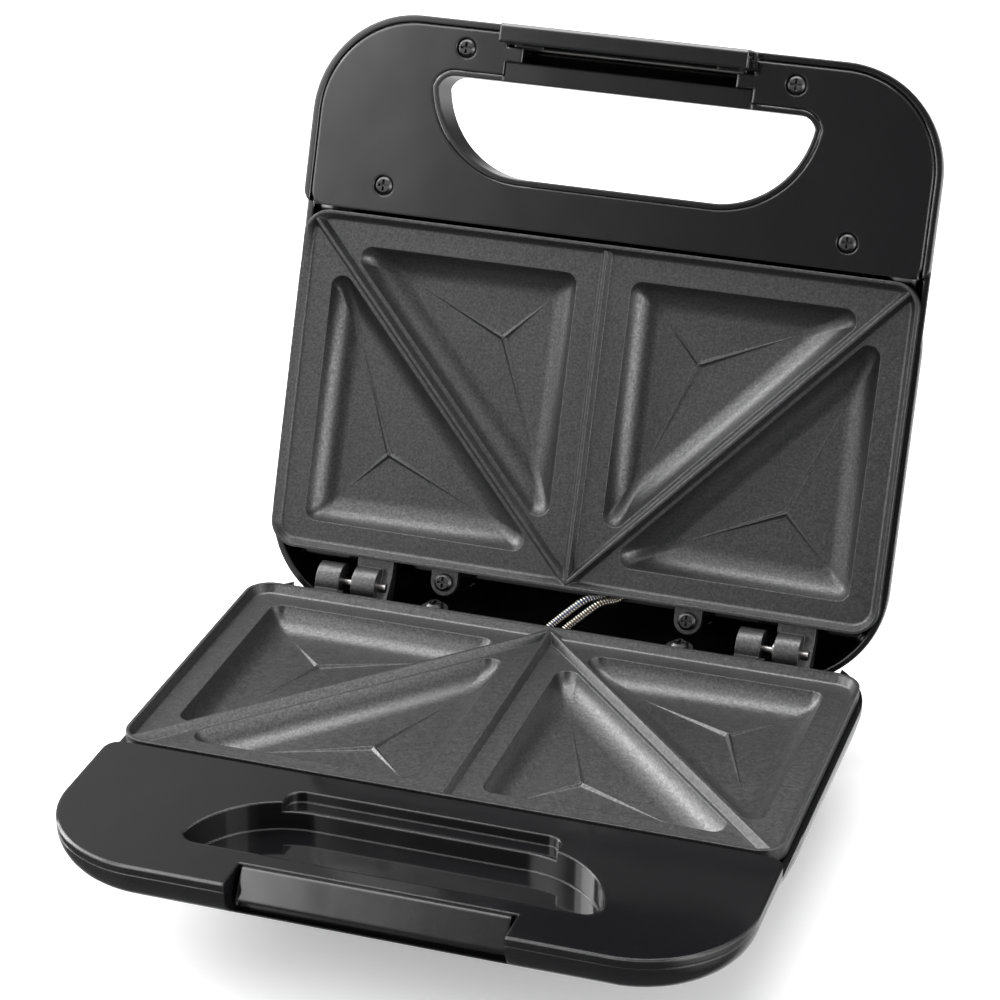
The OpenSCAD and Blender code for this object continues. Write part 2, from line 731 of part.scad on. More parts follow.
module rubber_feet() color(rubber) placed()
    for (x = [-foot_x, foot_x], y = [foot_front_y, foot_rear_y])
        translate([x, y, -shell_deep - boss_h]) {
            translate([0, 0, -foot_h]) cylinder(r = foot_r, h = foot_h - 0.05);
            translate([0, 0, -0.2]) cylinder(r = 2.4, h = 7);
        }

// ---------- handle covers ----------
cover_t = 2.2;
// the base's cover reaches over the shell's rim, which lies this deep
base_rim = 3.1;

// outline of the handle part, moved in
module cover_outline(inset)
    intersection() {
        plan(half_w - inset, front_y + inset, step_y + 40, shell_r - inset);
        plan(half_w - inset, front_y - 20, step_y, end_r);
    }

module cover_plate(inset, t) {
    translate([0, 0, -shell_gap - t]) linear_extrude(t - 0.35) cover_outline(inset);
    translate([0, 0, -shell_gap - 0.8]) linear_extrude(0.8) cover_outline(inset + 0.45);
}

// turned-down rear edge beside the plate
module cover_skirt()
    translate([-half_w + wall + seam + 1, step_y - 2, -rim_drop - 2])
        cube([2 * (half_w - wall - seam - 1), 2, rim_drop + 2 - shell_gap - 0.5]);

module base_handle_cover() color(black) placed() difference() {
    union() {
        cover_plate(0, base_rim - 0.1 - shell_gap);
        cover_skirt();
        translate([0, 0, -shell_gap - pocket_deep - 1.8]) linear_extrude(pocket_deep + 1) grip_outline(1.8);
        translate([-relief_half - 1.6, grip_rear - 8, -shell_gap - relief_deep - 1.6])
            cube([2 * relief_half + 3.2, relief_d + 9.6, relief_deep + 1]);
        both_sides() for (p = base_screws) translate([p[0], p[1], -handle_deep + 6.1])
            cylinder(r = 3.8, h = handle_deep - 6.1 - 1);
    }
    translate([0, 0, -shell_gap - pocket_deep]) linear_extrude(pocket_deep + 2) grip_outline(0);
    slab(relief_half, grip_rear - 7, grip_rear + relief_d, 5, -shell_gap - relief_deep, 2);
    translate([-notch_half, front_y - 1, -20]) cube([2 * notch_half, notch_y - front_y + 1.3, 30]);
    both_sides() for (p = base_screws) translate([p[0], p[1], -handle_deep])
        cylinder(r = screw_r + run_fit, h = handle_deep - 3);
}

tab_w = 6;
tab_y = 7.6;

module lid_handle_cover() color(black) placed() opened() turned_over() difference() {
    union() {
        cover_plate(wall + seam, cover_t);
        cover_skirt();
    }
    translate([0, 0, -10]) linear_extrude(20) grip_outline(rim_t + 0.3);
    // cut away at the latch, but for a tab at each end
    translate([-notch_half, front_y - 1, -20]) cube([2 * notch_half, 1 + tab_y, 30]);
    translate([-notch_half + tab_w, front_y, -20]) cube([2 * (notch_half - tab_w), grip_front - front_y + 3, 30]);
    translate([-notch_half, notch_y - 0.3, -20]) cube([2 * notch_half, grip_front - notch_y + 3, 30]);
    both_sides() for (p = lid_screws) translate([p[0], p[1], -6]) {
        cylinder(r = screw_r + 0.2, h = 8);
        translate([0, 0, 6 - shell_gap - 1.55]) cylinder(r = head_r + 0.4, h = 4);
    }
}

module lid_cover_screws() color(nonstick) placed() opened() turned_over()
    both_sides() for (p = lid_screws) translate([p[0], p[1], -shell_gap - 1.5]) screw(screw_l);

// ---------- lid housing ----------
rim_t = 1.9;
bar_drop = 1.3;

module lid_shell() color(black) placed() opened() turned_over() difference() {
    union() {
        housing(shell_gap);
        notch_walls(false);
        // wall round the grip opening, its rim flush with the cover
        translate([0, 0, -handle_deep + 0.5]) linear_extrude(handle_deep - 0.5 - shell_gap) grip_outline(rim_t);
        // bar between the notch and the grip opening
        translate([-notch_half + 0.3, notch_y, -bar_drop - 2.2])
            cube([2 * notch_half - 0.6, grip_front - notch_y + 1, 2.2]);
        both_sides() {
            for (p = lid_screws) translate([p[0], p[1], -p[2]])
                cylinder(r = 4, h = p[2] - shell_gap - cover_t - 0.1);
            plate_boss();
        }
        for (x = [-lamp_x, lamp_x]) translate([x, lamp_y, -shell_deep + 0.5]) cylinder(r = lens_r + 2, h = 4);
        translate([0, lamp_y, -shell_deep + 0.5]) cylinder(r = 3, h = lamp_z + shell_deep - 0.7);
    }
    translate([0, 0, -handle_deep - 5]) linear_extrude(handle_deep + 10) grip_outline(0);
    translate([-notch_half, notch_y - 1, -bar_drop]) cube([2 * notch_half, grip_front - notch_y + 3, 5]);
    lid_notch();
    both_sides() for (p = lid_screws) translate([p[0], p[1], -shell_gap - 1.5 - screw_l - 0.5])
        cylinder(r = screw_r + run_fit, h = screw_l);
    plate_boss_holes();
    rod_x(-notch_half - 2, notch_half + 2, latch_axis[0], -latch_axis[1], latch_pin_r + 0.02);
    for (x = [-lamp_x, lamp_x]) translate([x, lamp_y, -shell_deep - 1]) cylinder(r = lens_r + run_fit, h = 20);
}

// room for the latch, with a round seat behind it that its rear edge swings in
latch_arc = 5.3;

module lid_notch() {
    translate([-notch_half, front_y - 1, -latch_axis[1]])
        cube([2 * notch_half, notch_y - front_y + 1, latch_axis[1] + 4]);
    translate([-notch_half, front_y - 1, -handle_deep - 2])
        cube([2 * notch_half, latch_axis[0] + 3.7 - front_y + 1, handle_deep + 4]);
    rod_x(-notch_half, notch_half, latch_axis[0], -latch_axis[1], latch_arc + 0.2);
}

// ---------- latch ----------
module latch_clip() color(black) placed() opened() turned_over() difference() {
    union() {
        difference() {
            lip_bar(-latch_half, latch_half, 0, 0, notch_y - 0.6);
            lip_bar(-latch_half - 1, latch_half + 1, 2.4, -1, notch_y);
        }
        // hook that reaches past the meeting plane to the catch bar
        along_x(-latch_half, latch_half, [[front_y, -1], [front_y, -hook_z + hook_t - 1],
            [front_y + 1, -hook_z + hook_t], [nose_y + 0.6, -hook_z + hook_t], [nose_y + 1.1, -hook_z + 1],
            [nose_y + 0.8, -hook_z], [front_y + 2.4, -hook_z], [front_y + 2.4, -1]]);
        both_sides() {
            // end cheeks carry the pivot
            along_x(latch_half - 4.4, latch_half, [[front_y + 1, 6], [front_y + 1, -5],
                [latch_axis[0] - 3, -latch_axis[1]], [latch_axis[0], -latch_axis[1] - 2.2],
                [latch_axis[0] + 3, -latch_axis[1]], [latch_axis[0] + 3, -8], [front_y + 7, -4],
                [front_y + 7, -1], [front_y + 4.5, 3], [front_y + 2.4, 6]]);
            // stiffening block behind the lip
            along_x(latch_half - 12.5, latch_half - 2.5, [[front_y + 1, 3], [front_y + 1, -5],
                [front_y + 5, -5], [front_y + 7.2, -2.6], [front_y + 7.2, 0], [front_y + 3, 0]]);
        }
    }
    rod_x(-60, 60, latch_axis[0], -latch_axis[1], latch_pin_r + run_fit);
    // round rear edge
    difference() {
        translate([-60, latch_axis[0], -handle_deep - 2]) cube([120, 12, handle_deep + 2 - latch_axis[1]]);
        rod_x(-61, 61, latch_axis[0], -latch_axis[1], latch_arc);
    }
}

module latch_pin() color(steel) placed() opened() turned_over()
    rod_x(-notch_half - 1.8, notch_half + 1.8, latch_axis[0], -latch_axis[1], latch_pin_r);

// ---------- hinge pins ----------
// each pin is fixed in the base's knuckle and held by a clip in the gap beside the lid's
pin_from = base_knuckle[0] + 0.3;
pin_to = bracket_to - 1.1;
groove_x = lid_knuckle[0] - 1.3;

module hinge_pins() color(steel) placed() for (c = [-hinge_x, hinge_x]) difference() {
    rod_x(c + pin_from, c + pin_to, axis_y, axis_z, pin_r);
    difference() {
        rod_x(c + groove_x, c + groove_x + 0.9, axis_y, axis_z, pin_r + 1);
        rod_x(c + groove_x - 1, c + groove_x + 2, axis_y, axis_z, pin_r - 0.35);
    }
}

module pin_clips() color(steel) placed() for (c = [-hinge_x, hinge_x]) difference() {
    rod_x(c + groove_x + 0.1, c + groove_x + 0.8, axis_y, axis_z, pin_r + 1.4);
    rod_x(c + groove_x, c + groove_x + 1, axis_y, axis_z, pin_r - 0.3);
    translate([c + groove_x, axis_y - 0.9, axis_z - 5]) cube([1, 1.8, 5]);
}

// ---------- lamps ----------
module lens(x) placed() opened() turned_over() translate([x, lamp_y, -shell_deep]) {
    translate([0, 0, -0.8]) cylinder(r1 = lens_r - 0.8, r2 = lens_r, h = 0.8);
    cylinder(r = lens_r, h = 4.2);
    translate([0, 0, 4.6]) cylinder(r = lens_r + 1.6, h = 1);
    cylinder(r = lens_r - 0.2, h = 5);
}

module power_lens() color([0.75, 0.06, 0.04]) lens(-lamp_x);
module ready_lens() color([0.06, 0.6, 0.15]) lens(lamp_x);

lamp_z = -shell_deep + 11.6;

module lamp_holder() color([0.9, 0.9, 0.86]) placed() opened() turned_over() difference() {
    translate([-lamp_x - 5, lamp_y - 5, lamp_z]) cube([2 * lamp_x + 10, 10, 3]);
    for (x = [-lamp_x, lamp_x]) translate([x, lamp_y, lamp_z - 1]) cylinder(r = 2.55, h = 6);
}

module neon_lamps() color([0.95, 0.7, 0.5, 0.6]) placed() opened() turned_over()
    for (x = [-lamp_x, lamp_x]) translate([x, lamp_y, lamp_z - 3]) {
        cylinder(r = 2.5, h = 7);
        sphere(2.5);
    }

// ---------- wires that cross the hinge ----------
// points of the left spring from the base into the lid, lid open; the right one lies beside it
spring_route = [[-9.5, -3, -9.9], [-6.9, 2.6, -8.2], [-2.6, 8.5, -4], [2.8, 11.4, 0.9],
    [7.9, 14.4, 4.6], [12.6, 19.6, 4.4], [15.2, 26, 6.6]];
spring_step = [5, 0, -0.7];

function beside(points, off) = [for (p = points) p + off];

// smooth curve through the points, u from 0 to len - 1
function curve(p, u) =
    let (
        n = len(p) - 1,
        i = min(n - 1, floor(u)),
        t = u - i,
        b = p[i],
        c = p[i + 1],
        a = i > 0 ? p[i - 1] : 2 * b - c,
        d = i < n - 1 ? p[i + 2] : 2 * c - b
    )
    0.5 * (2 * b + (c - a) * t + (2 * a - 5 * b + 4 * c - d) * t * t + (3 * b - a - 3 * c + d) * t * t * t);

function unit(v) = v / norm(v);
function heading(p, u) = unit(curve(p, min(u + 0.02, len(p) - 1)) - curve(p, max(u - 0.02, 0)));
function across(p, u) = unit(cross([0, 0, 1], heading(p, u)));

// length along the curve against its parameter
length_steps = 96;
function length_table(p) =
    let (m = (len(p) - 1) / length_steps)
    [
        for (i = 0, s = 0; i <= length_steps; s = s + norm(curve(p, (i + 1) * m) - curve(p, i * m)), i = i + 1)
            [s, i * m]
    ];

rings_per_turn = 8;
coil_r = (spring_d - spring_wire) / 2;

// centre line of the wound wire
function coil_pt(p, table, k) =
    let (
        rings = spring_turns * rings_per_turn,
        u = lookup(table[length_steps][0] * k / rings, table),
        a = 360 * k / rings_per_turn
    )
    curve(p, u) + coil_r * (cos(a) * across(p, u) + sin(a) * cross(heading(p, u), across(p, u)));

function coil_line(p) =
    let (rings = spring_turns * rings_per_turn, n = len(p) - 1, table = length_table(p))
    concat(
        [coil_pt(p, table, 0) - spring_wire * heading(p, 0)],
        [for (k = [0:rings]) coil_pt(p, table, k)],
        [coil_pt(p, table, rings) + spring_wire * heading(p, n)]
    );

function line_heading(q, i) = unit(q[min(i + 1, len(q) - 1)] - q[max(i - 1, 0)]);

// tube with flat ends along a line of points
module swept(q, r, sides) {
    n = len(q);
    points = [
        for (i = [0:n - 1])
            let (h = line_heading(q, i), s = unit(cross(h, [0.13, 0.21, 0.97])), w = cross(h, s))
            for (j = [0:sides - 1]) q[i] + r * (cos(360 * j / sides) * s + sin(360 * j / sides) * w)
    ];
    walls = [
        for (i = [0:n - 2], j = [0:sides - 1])
            let (a = i * sides + j, b = i * sides + (j + 1) % sides)
            each [[a, b, b + sides], [a, b + sides, a + sides]]
    ];
    ends = [
        for (j = [1:sides - 2])
            let (a = (n - 1) * sides)
            each [[0, j + 1, j], [a, a + j, a + j + 1]]
    ];
    polyhedron(points, concat(walls, ends));
}

// least clear distance of a wound wire to itself, on points at least half a turn apart
function own_gap(q) =
    min([
        for (i = [0:len(q) - 1], j = [i + 4:min(i + 20, len(q) - 1)])
            if (j < len(q) && j - i >= rings_per_turn - 2) norm(q[i] - q[j]) - spring_wire
    ]);

module wound(off) {
    q = coil_line(beside(spring_route, off));
    echo(str("least gap of the wound wire to itself, mm: ", own_gap(q)));
    swept(q, spring_wire / 2, 6);
}

module left_wire_spring() color(steel) placed() wound([0, 0, 0]);
module right_wire_spring() color(steel) placed() wound(spring_step);

// insulated wires inside the springs, on to the terminal block and to the heater's ends
wire_below = [[-34, -10.5, -31], [-22, -4.5, -27], [-13, -3.4, -17.5]];
wire_above_left = [[4, -4.2, 15.2], [-14, -3.6, 16.4], [-heater_end_x + 4.6, -2.2, -heater_z]];
wire_above_right = [[25, -4, 15], [heater_end_x - 4.6, -2.2, -heater_z]];
lead_r = 0.78;
lead_steps = 3;

// how far a lead runs on straight past the end of its spring, as a share of the route's last step
stub = 0.35;

function lead_line(p) = [for (u = [0:1 / lead_steps:len(p) - 1]) curve(p, u)];

// in the spring the lead keeps to its middle
function lead_path(below, route, above) =
    let (n = len(route) - 1)
    concat(
        lead_line(concat(below, [route[0] - stub * (route[1] - route[0])])),
        [for (u = [0:0.25:n]) curve(route, u)],
        lead_line(concat([route[n] + stub * (route[n] - route[n - 1])], above))
    );

module lid_wire(off, above)
    swept(lead_path(beside(wire_below, off), beside(spring_route, off), [for (p = above) opened_pt(p)]),
        lead_r, 6);

module left_lid_wire() color([0.1, 0.2, 0.5]) placed() lid_wire([0, 0, 0], wire_above_left);
module right_lid_wire() color([0.5, 0.3, 0.1]) placed() lid_wire(spring_step, wire_above_right);

base_shell();
base_handle_cover();
base_cover_screws();
rubber_feet();
cord_gland();
lower_plate();
lower_plate_screws();
lower_heater();
lower_reflector();
lower_reflector_screws();
thermostat();
thermostat_screws();
thermal_fuse();
terminal_block();
thermostat_wire();
neutral_wire();
live_wire();
hinge_pins();
pin_clips();
lid_shell();
lid_handle_cover();
lid_cover_screws();
upper_plate();
upper_plate_screws();
upper_heater();
upper_reflector();
upper_reflector_screws();
power_lens();
ready_lens();
neon_lamps();
lamp_holder();
latch_clip();
latch_pin();
left_wire_spring();
right_wire_spring();
left_lid_wire();
right_lid_wire();
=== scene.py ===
import json
import math

import bmesh
import bpy
from mathutils import Matrix, Vector


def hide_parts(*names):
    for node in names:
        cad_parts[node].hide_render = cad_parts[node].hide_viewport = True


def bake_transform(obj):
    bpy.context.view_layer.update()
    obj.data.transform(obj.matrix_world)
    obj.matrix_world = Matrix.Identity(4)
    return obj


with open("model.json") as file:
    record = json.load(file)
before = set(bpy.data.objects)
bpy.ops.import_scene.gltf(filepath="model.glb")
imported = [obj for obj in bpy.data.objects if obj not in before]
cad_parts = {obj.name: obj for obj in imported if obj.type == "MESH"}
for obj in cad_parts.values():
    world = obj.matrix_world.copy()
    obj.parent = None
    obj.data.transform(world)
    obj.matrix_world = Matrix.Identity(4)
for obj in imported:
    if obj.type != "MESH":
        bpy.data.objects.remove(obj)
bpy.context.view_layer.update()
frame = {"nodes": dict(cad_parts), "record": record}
NODES = frame["nodes"]

MM = 0.001
MID_Y = 49.10488      # row frame y of the plates' rear edge, mm
RIM_H = 44.5          # row frame z of the plane where the plates meet, mm


def row(x, y, z):
    """A point given from the plates' rear edge and meeting plane, in mm, as the row frame's metres."""
    return Vector((x, y + MID_Y, z + RIM_H)) * MM


# ---------------------------------------------------------------- camera
AZIMUTH = math.radians(17.47)      # solved from the corners of the two plates in the photograph
ELEVATION = math.radians(25.40)
ROLL = 0.0155
EYE = row(280.62, -952.41, 518.58)
SENSOR_WIDTH = 36.0
FOCAL_PX = 3299.1                  # for a picture that is PICTURE_PX wide
PICTURE_PX = 1000


def make_camera():
    az, el, roll = AZIMUTH, ELEVATION, ROLL
    back = Vector((math.sin(az) * math.cos(el), -math.cos(az) * math.cos(el), math.sin(el)))
    right = (-back).cross(Vector((0, 0, 1))).normalized()
    up = right.cross(-back).normalized()
    r2 = math.cos(roll) * right + math.sin(roll) * up
    u2 = -math.sin(roll) * right + math.cos(roll) * up
    data = bpy.data.cameras.new("camera")
    data.sensor_width = SENSOR_WIDTH
    data.lens = FOCAL_PX / PICTURE_PX * SENSOR_WIDTH
    data.clip_start, data.clip_end = 0.05, 50
    cam = bpy.data.objects.new("camera", data)
    bpy.context.scene.collection.objects.link(cam)
    m = Matrix((r2, u2, back)).transposed().to_4x4()
    m.translation = EYE
    cam.matrix_world = m
    bpy.context.scene.camera = cam


# ---------------------------------------------------------------- materials
HOUSING_EDGE = 0.001      # how far each kind of piece looks rounded at its edges, m
PLATE_EDGE = 0.0005
MATTE_EDGE = 0.0003
METAL_EDGE = 0.0002
BLACK_IOR = 1.8           # strong reflections of polished black and of the coating


class Nodes:
    """Short way to write a node tree."""

    def __init__(self, name):
        self.mat = bpy.data.materials.new(name)
        self.mat.use_nodes = True
        self.tree = self.mat.node_tree
        self.bsdf = self.tree.nodes["Principled BSDF"]
        self.coord = self.tree.nodes.new("ShaderNodeTexCoord")

    def link(self, a, b):
        self.tree.links.new(a, b)

    def noise(self, scale, detail=2.0, rough=0.5, stretch=None):
        n = self.tree.nodes.new("ShaderNodeTexNoise")
        n.inputs["Scale"].default_value = scale
        n.inputs["Detail"].default_value = detail
        n.inputs["Roughness"].default_value = rough
        if stretch:
            m = self.tree.nodes.new("ShaderNodeMapping")
            m.inputs["Scale"].default_value = stretch
            self.link(self.coord.outputs["Object"], m.inputs["Vector"])
            self.link(m.outputs["Vector"], n.inputs["Vector"])
        else:
            self.link(self.coord.outputs["Object"], n.inputs["Vector"])
        return n.outputs["Fac"]

    def voronoi(self, scale):
        n = self.tree.nodes.new("ShaderNodeTexVoronoi")
        n.inputs["Scale"].default_value = scale
        self.link(self.coord.outputs["Object"], n.inputs["Vector"])
        return n.outputs["Distance"]

    def ramp(self, fac, stops):
        n = self.tree.nodes.new("ShaderNodeValToRGB")
        while len(n.color_ramp.elements) < len(stops):
            n.color_ramp.elements.new(0.5)
        for e, (p, c) in zip(n.color_ramp.elements, stops):
            e.position = p
            e.color = (*c, 1)
        self.link(fac, n.inputs["Fac"])
        return n.outputs["Color"]

    def span(self, fac, lo, hi, a=0.0, b=1.0):
        n = self.tree.nodes.new("ShaderNodeMapRange")
        n.inputs["From Min"].default_value = a
        n.inputs["From Max"].default_value = b
        n.inputs["To Min"].default_value = lo
        n.inputs["To Max"].default_value = hi
        self.link(fac, n.inputs["Value"])
        return n.outputs["Result"]

    def math(self, op, a, b):
        n = self.tree.nodes.new("ShaderNodeMath")
        n.operation = op
        for i, v in enumerate((a, b)):
            if isinstance(v, (int, float)):
                n.inputs[i].default_value = v
            else:
                self.link(v, n.inputs[i])
        return n.outputs["Value"]

    def bump(self, height, distance, strength=1.0, normal=None):
        n = self.tree.nodes.new("ShaderNodeBump")
        n.inputs["Distance"].default_value = distance
        n.inputs["Strength"].default_value = strength
        self.link(height, n.inputs["Height"])
        if normal is not None:
            self.link(normal, n.inputs["Normal"])
        return n.outputs["Normal"]

    def bevel(self, radius):
        n = self.tree.nodes.new("ShaderNodeBevel")
        n.samples = 4
        n.inputs["Radius"].default_value = radius
        return n.outputs["Normal"]

    def set(self, **values):
        for k, v in values.items():
            sock = self.bsdf.inputs[k.replace("_", " ")]
            if isinstance(v, bpy.types.NodeSocket):
                self.link(v, sock)
            else:
                sock.default_value = v


def gloss_plastic(name, dark, light, rough_lo, rough_hi):
    """Polished black moulding: a shallow ripple, and edges rounded by HOUSING_EDGE."""
    m = Nodes(name)
    broad = m.noise(9, 3)
    fine = m.noise(900, 3, 0.6)
    ripple = m.noise(42, 1.5, 0.4)
    m.set(Base_Color=m.ramp(broad, [(0.3, dark), (0.75, light)]),
          Roughness=m.math("ADD", m.span(broad, rough_lo, rough_hi, 0.3, 0.7),
                           m.span(fine, 0, 0.03, 0.45, 0.75)),
          Normal=m.bump(ripple, 0.00022, 0.5, m.bump(fine, 0.000006, 0.35, m.bevel(HOUSING_EDGE))))
    m.set(IOR=BLACK_IOR)
    return m.mat


def coated_cast(name):
    """Dark non-stick coating on a die casting: satin, with a fine grain, faint specks and a slight peel."""
    m = Nodes(name)
    peel = m.noise(620, 2, 0.5)
    broad = m.noise(14, 3)
    grain = m.noise(1250, 2, 0.6)
    speck = m.voronoi(1500)
    dots = m.span(speck, 1.0, 0.0, 0.0, 0.24)
    tone = m.ramp(broad, [(0.3, (0.009, 0.009, 0.0095)), (0.7, (0.015, 0.015, 0.016))])
    bright = m.tree.nodes.new("ShaderNodeMix")
    bright.data_type = "RGBA"
    m.link(m.math("MULTIPLY", dots, 0.4), bright.inputs["Factor"])
    m.link(tone, bright.inputs[6])
    bright.inputs[7].default_value = (0.07, 0.07, 0.072, 1)
    m.set(Base_Color=bright.outputs[2],
          Roughness=m.span(peel, 0.33, 0.43, 0.3, 0.7),
          Normal=m.bump(peel, 0.00008, 0.6, m.bevel(PLATE_EDGE)))
    m.set(IOR=BLACK_IOR, Specular_IOR_Level=m.span(grain, 0.35, 0.65, 0.33, 0.67))
    return m.mat


def metal(name, colour, rough, spread, scale=300, stretch=None, bump=0.00001, metallic=1.0):
    m = Nodes(name)
    n = m.noise(scale, 3, 0.6, stretch)
    broad = m.noise(60, 2)
    low = tuple(c * 0.78 for c in colour)
    m.set(Base_Color=m.ramp(broad, [(0.3, low), (0.7, colour)]),
          Roughness=m.span(n, rough - spread, rough + spread, 0.3, 0.7),
          Normal=m.bump(n, bump, 0.6, m.bevel(METAL_EDGE)))
    m.set(Metallic=metallic)
    return m.mat


def matte(name, dark, light, rough):
    m = Nodes(name)
    fine = m.noise(500, 3, 0.6)
    broad = m.noise(25, 2)
    m.set(Base_Color=m.ramp(broad, [(0.3, dark), (0.7, light)]),
          Roughness=m.span(fine, rough - 0.06, rough + 0.06, 0.3, 0.7),
          Normal=m.bump(fine, 0.00004, 0.5, m.bevel(MATTE_EDGE)))
    return m.mat


def lens(name, deep, pale):
    m = Nodes(name)
    ring = m.voronoi(700)
    broad = m.noise(120, 2)
    m.set(Base_Color=m.ramp(broad, [(0.3, deep), (0.7, pale)]),
          Roughness=m.span(ring, 0.06, 0.14),
          Normal=m.bump(ring, 0.00004, 0.4))
    m.set(IOR=1.49, Transmission_Weight=0.55)
    return m.mat


def glass(name):
    m = Nodes(name)
    n = m.noise(200, 2)
    m.set(Base_Color=m.ramp(n, [(0.3, (0.9, 0.72, 0.6)), (0.7, (1, 0.9, 0.82))]),
          Roughness=m.span(n, 0.02, 0.08))
    m.set(IOR=1.47, Transmission_Weight=0.9)
    return m.mat


MATERIALS = {
    "housing": gloss_plastic("piano_black", (0.0040, 0.0040, 0.0045), (0.0065, 0.0065, 0.0072), 0.06, 0.10),
    "coated_plate": coated_cast("nonstick_coating"),
    "zinc_screws": metal("zinc_plated", (0.62, 0.62, 0.60), 0.32, 0.08),
    "dark_screws": metal("blackened_steel", (0.09, 0.09, 0.09), 0.34, 0.08),
    "pin_steel": metal("pin_steel", (0.42, 0.41, 0.40), 0.30, 0.07, 500, (0.08, 1, 1)),
    "rubber": matte("foot_rubber", (0.018, 0.018, 0.018), (0.028, 0.028, 0.028), 0.82),
    "element": metal("oxidised_tube", (0.24, 0.21, 0.18), 0.5, 0.1, 220, None, 0.00003, 0.85),
    "sheet": metal("bright_sheet", (0.78, 0.79, 0.80), 0.24, 0.08, 160, (1, 14, 1)),
    "ceramic": matte("steatite", (0.62, 0.58, 0.50), (0.72, 0.69, 0.61), 0.45),
    "brass": metal("brass", (0.78, 0.60, 0.27), 0.3, 0.07),
    "block": matte("terminal_moulding", (0.72, 0.71, 0.66), (0.80, 0.79, 0.74), 0.4),
    "lead_blue": matte("blue_insulation", (0.02, 0.045, 0.16), (0.03, 0.06, 0.2), 0.45),
    "lead_brown": matte("brown_insulation", (0.075, 0.034, 0.016), (0.10, 0.045, 0.022), 0.45),
    "lens_red": lens("red_lens", (0.42, 0.006, 0.004), (0.6, 0.012, 0.008)),
    "lens_green": lens("green_lens", (0.004, 0.30, 0.05), (0.01, 0.42, 0.08)),
    "lamp_glass": glass("lamp_glass"),
    "nickel": metal("bright_nickel", (0.74, 0.71, 0.64), 0.2, 0.06, 700),
}


def smooth_shading(angle):
    """Node group: merges the doubled points, then shades smooth across edges up to an angle."""
    g = bpy.data.node_groups.new("merged_and_smooth", "GeometryNodeTree")
    g.interface.new_socket("Geometry", in_out="INPUT", socket_type="NodeSocketGeometry")
    g.interface.new_socket("Geometry", in_out="OUTPUT", socket_type="NodeSocketGeometry")
    new, link = g.nodes.new, g.links.new
    start, end = new("NodeGroupInput"), new("NodeGroupOutput")
    merge = new("GeometryNodeMergeByDistance")
    merge.inputs["Distance"].default_value = 0.000002
    faces = new("GeometryNodeSetShadeSmooth")
    faces.domain = "FACE"
    faces.inputs["Shade Smooth"].default_value = True
    edges = new("GeometryNodeSetShadeSmooth")
    edges.domain = "EDGE"
    turn = new("GeometryNodeInputMeshEdgeAngle")
    below = new("FunctionNodeCompare")
    below.data_type = "FLOAT"
    below.operation = "LESS_THAN"
    below.inputs[1].default_value = math.radians(angle)
    link(start.outputs[0], merge.inputs["Geometry"])
    link(merge.outputs[0], faces.inputs["Geometry"])
    link(faces.outputs[0], edges.inputs["Geometry"])
    link(turn.outputs["Unsigned Angle"], below.inputs[0])
    link(below.outputs[0], edges.inputs["Shade Smooth"])
    link(edges.outputs[0], end.inputs[0])
    return g


def dress_nodes():
    """Gives each CAD node its material and smooth shading that keeps the flat faces flat."""
    slots = {s["node"]: s["material_slot"] for s in frame["record"]["subparts"]}
    group = smooth_shading(26)
    for name, obj in NODES.items():
        obj.data.materials.clear()
        obj.data.materials.append(MATERIALS[slots[name]])
        obj.modifiers.new("shading", "NODES").node_group = group
        weighted = obj.modifiers.new("normals", "WEIGHTED_NORMAL")
        weighted.keep_sharp = True
        weighted.weight = 75


# ---------------------------------------------------------------- curves
def smooth_curve(points, u):
    """The CAD source's own smooth curve through points, at parameter u."""
    n = len(points) - 1
    i = min(n - 1, int(math.floor(u)))
    t = u - i
    b, c = points[i], points[i + 1]
    a = points[i - 1] if i > 0 else 2 * b - c
    d = points[i + 2] if i < n - 1 else 2 * c - b
    return 0.5 * (2 * b + (c - a) * t + (2 * a - 5 * b + 4 * c - d) * t * t
                  + (3 * b - a - 3 * c + d) * t ** 3)


def even_parameters(points, count):
    """Parameters of count + 1 places at equal distances along the curve."""
    n = len(points) - 1
    steps = 600
    walk = [0.0]
    last = smooth_curve(points, 0)
    for k in range(1, steps + 1):
        p = smooth_curve(points, n * k / steps)
        walk.append(walk[-1] + (p - last).length)
        last = p
    out, j = [], 0
    for k in range(count + 1):
        want = walk[-1] * k / count
        while j < steps - 1 and walk[j + 1] < want:
            j += 1
        f = (want - walk[j]) / max(walk[j + 1] - walk[j], 1e-12)
        out.append(n * (j + min(max(f, 0), 1)) / steps)
    return out


def tube(name, line, radius, sides, material):
    """A mesh tube with flat ends along a list of points."""
    bm = bmesh.new()
    rings = []
    normal = None
    n = len(line)
    for i, p in enumerate(line):
        t = (line[min(i + 1, n - 1)] - line[max(i - 1, 0)]).normalized()
        if normal is None:
            normal = t.orthogonal().normalized()
        normal = (normal - t * normal.dot(t)).normalized()
        side = t.cross(normal)
        rings.append([])
        for j in range(sides):
            a = 2 * math.pi * j / sides
            rings[-1].append(bm.verts.new(p + radius * (math.cos(a) * normal + math.sin(a) * side)))
    for a, b in zip(rings, rings[1:]):
        for j in range(sides):
            bm.faces.new((a[j], a[(j + 1) % sides], b[(j + 1) % sides], b[j]))
    bm.faces.new(list(reversed(rings[0])))
    bm.faces.new(rings[-1])
    bmesh.ops.recalc_face_normals(bm, faces=bm.faces)
    mesh = bpy.data.meshes.new(name)
    bm.to_mesh(mesh)
    bm.free()
    for f in mesh.polygons:
        f.use_smooth = True
    mesh.materials.append(material)
    obj = bpy.data.objects.new(name, mesh)
    bpy.context.scene.collection.objects.link(obj)
    return obj


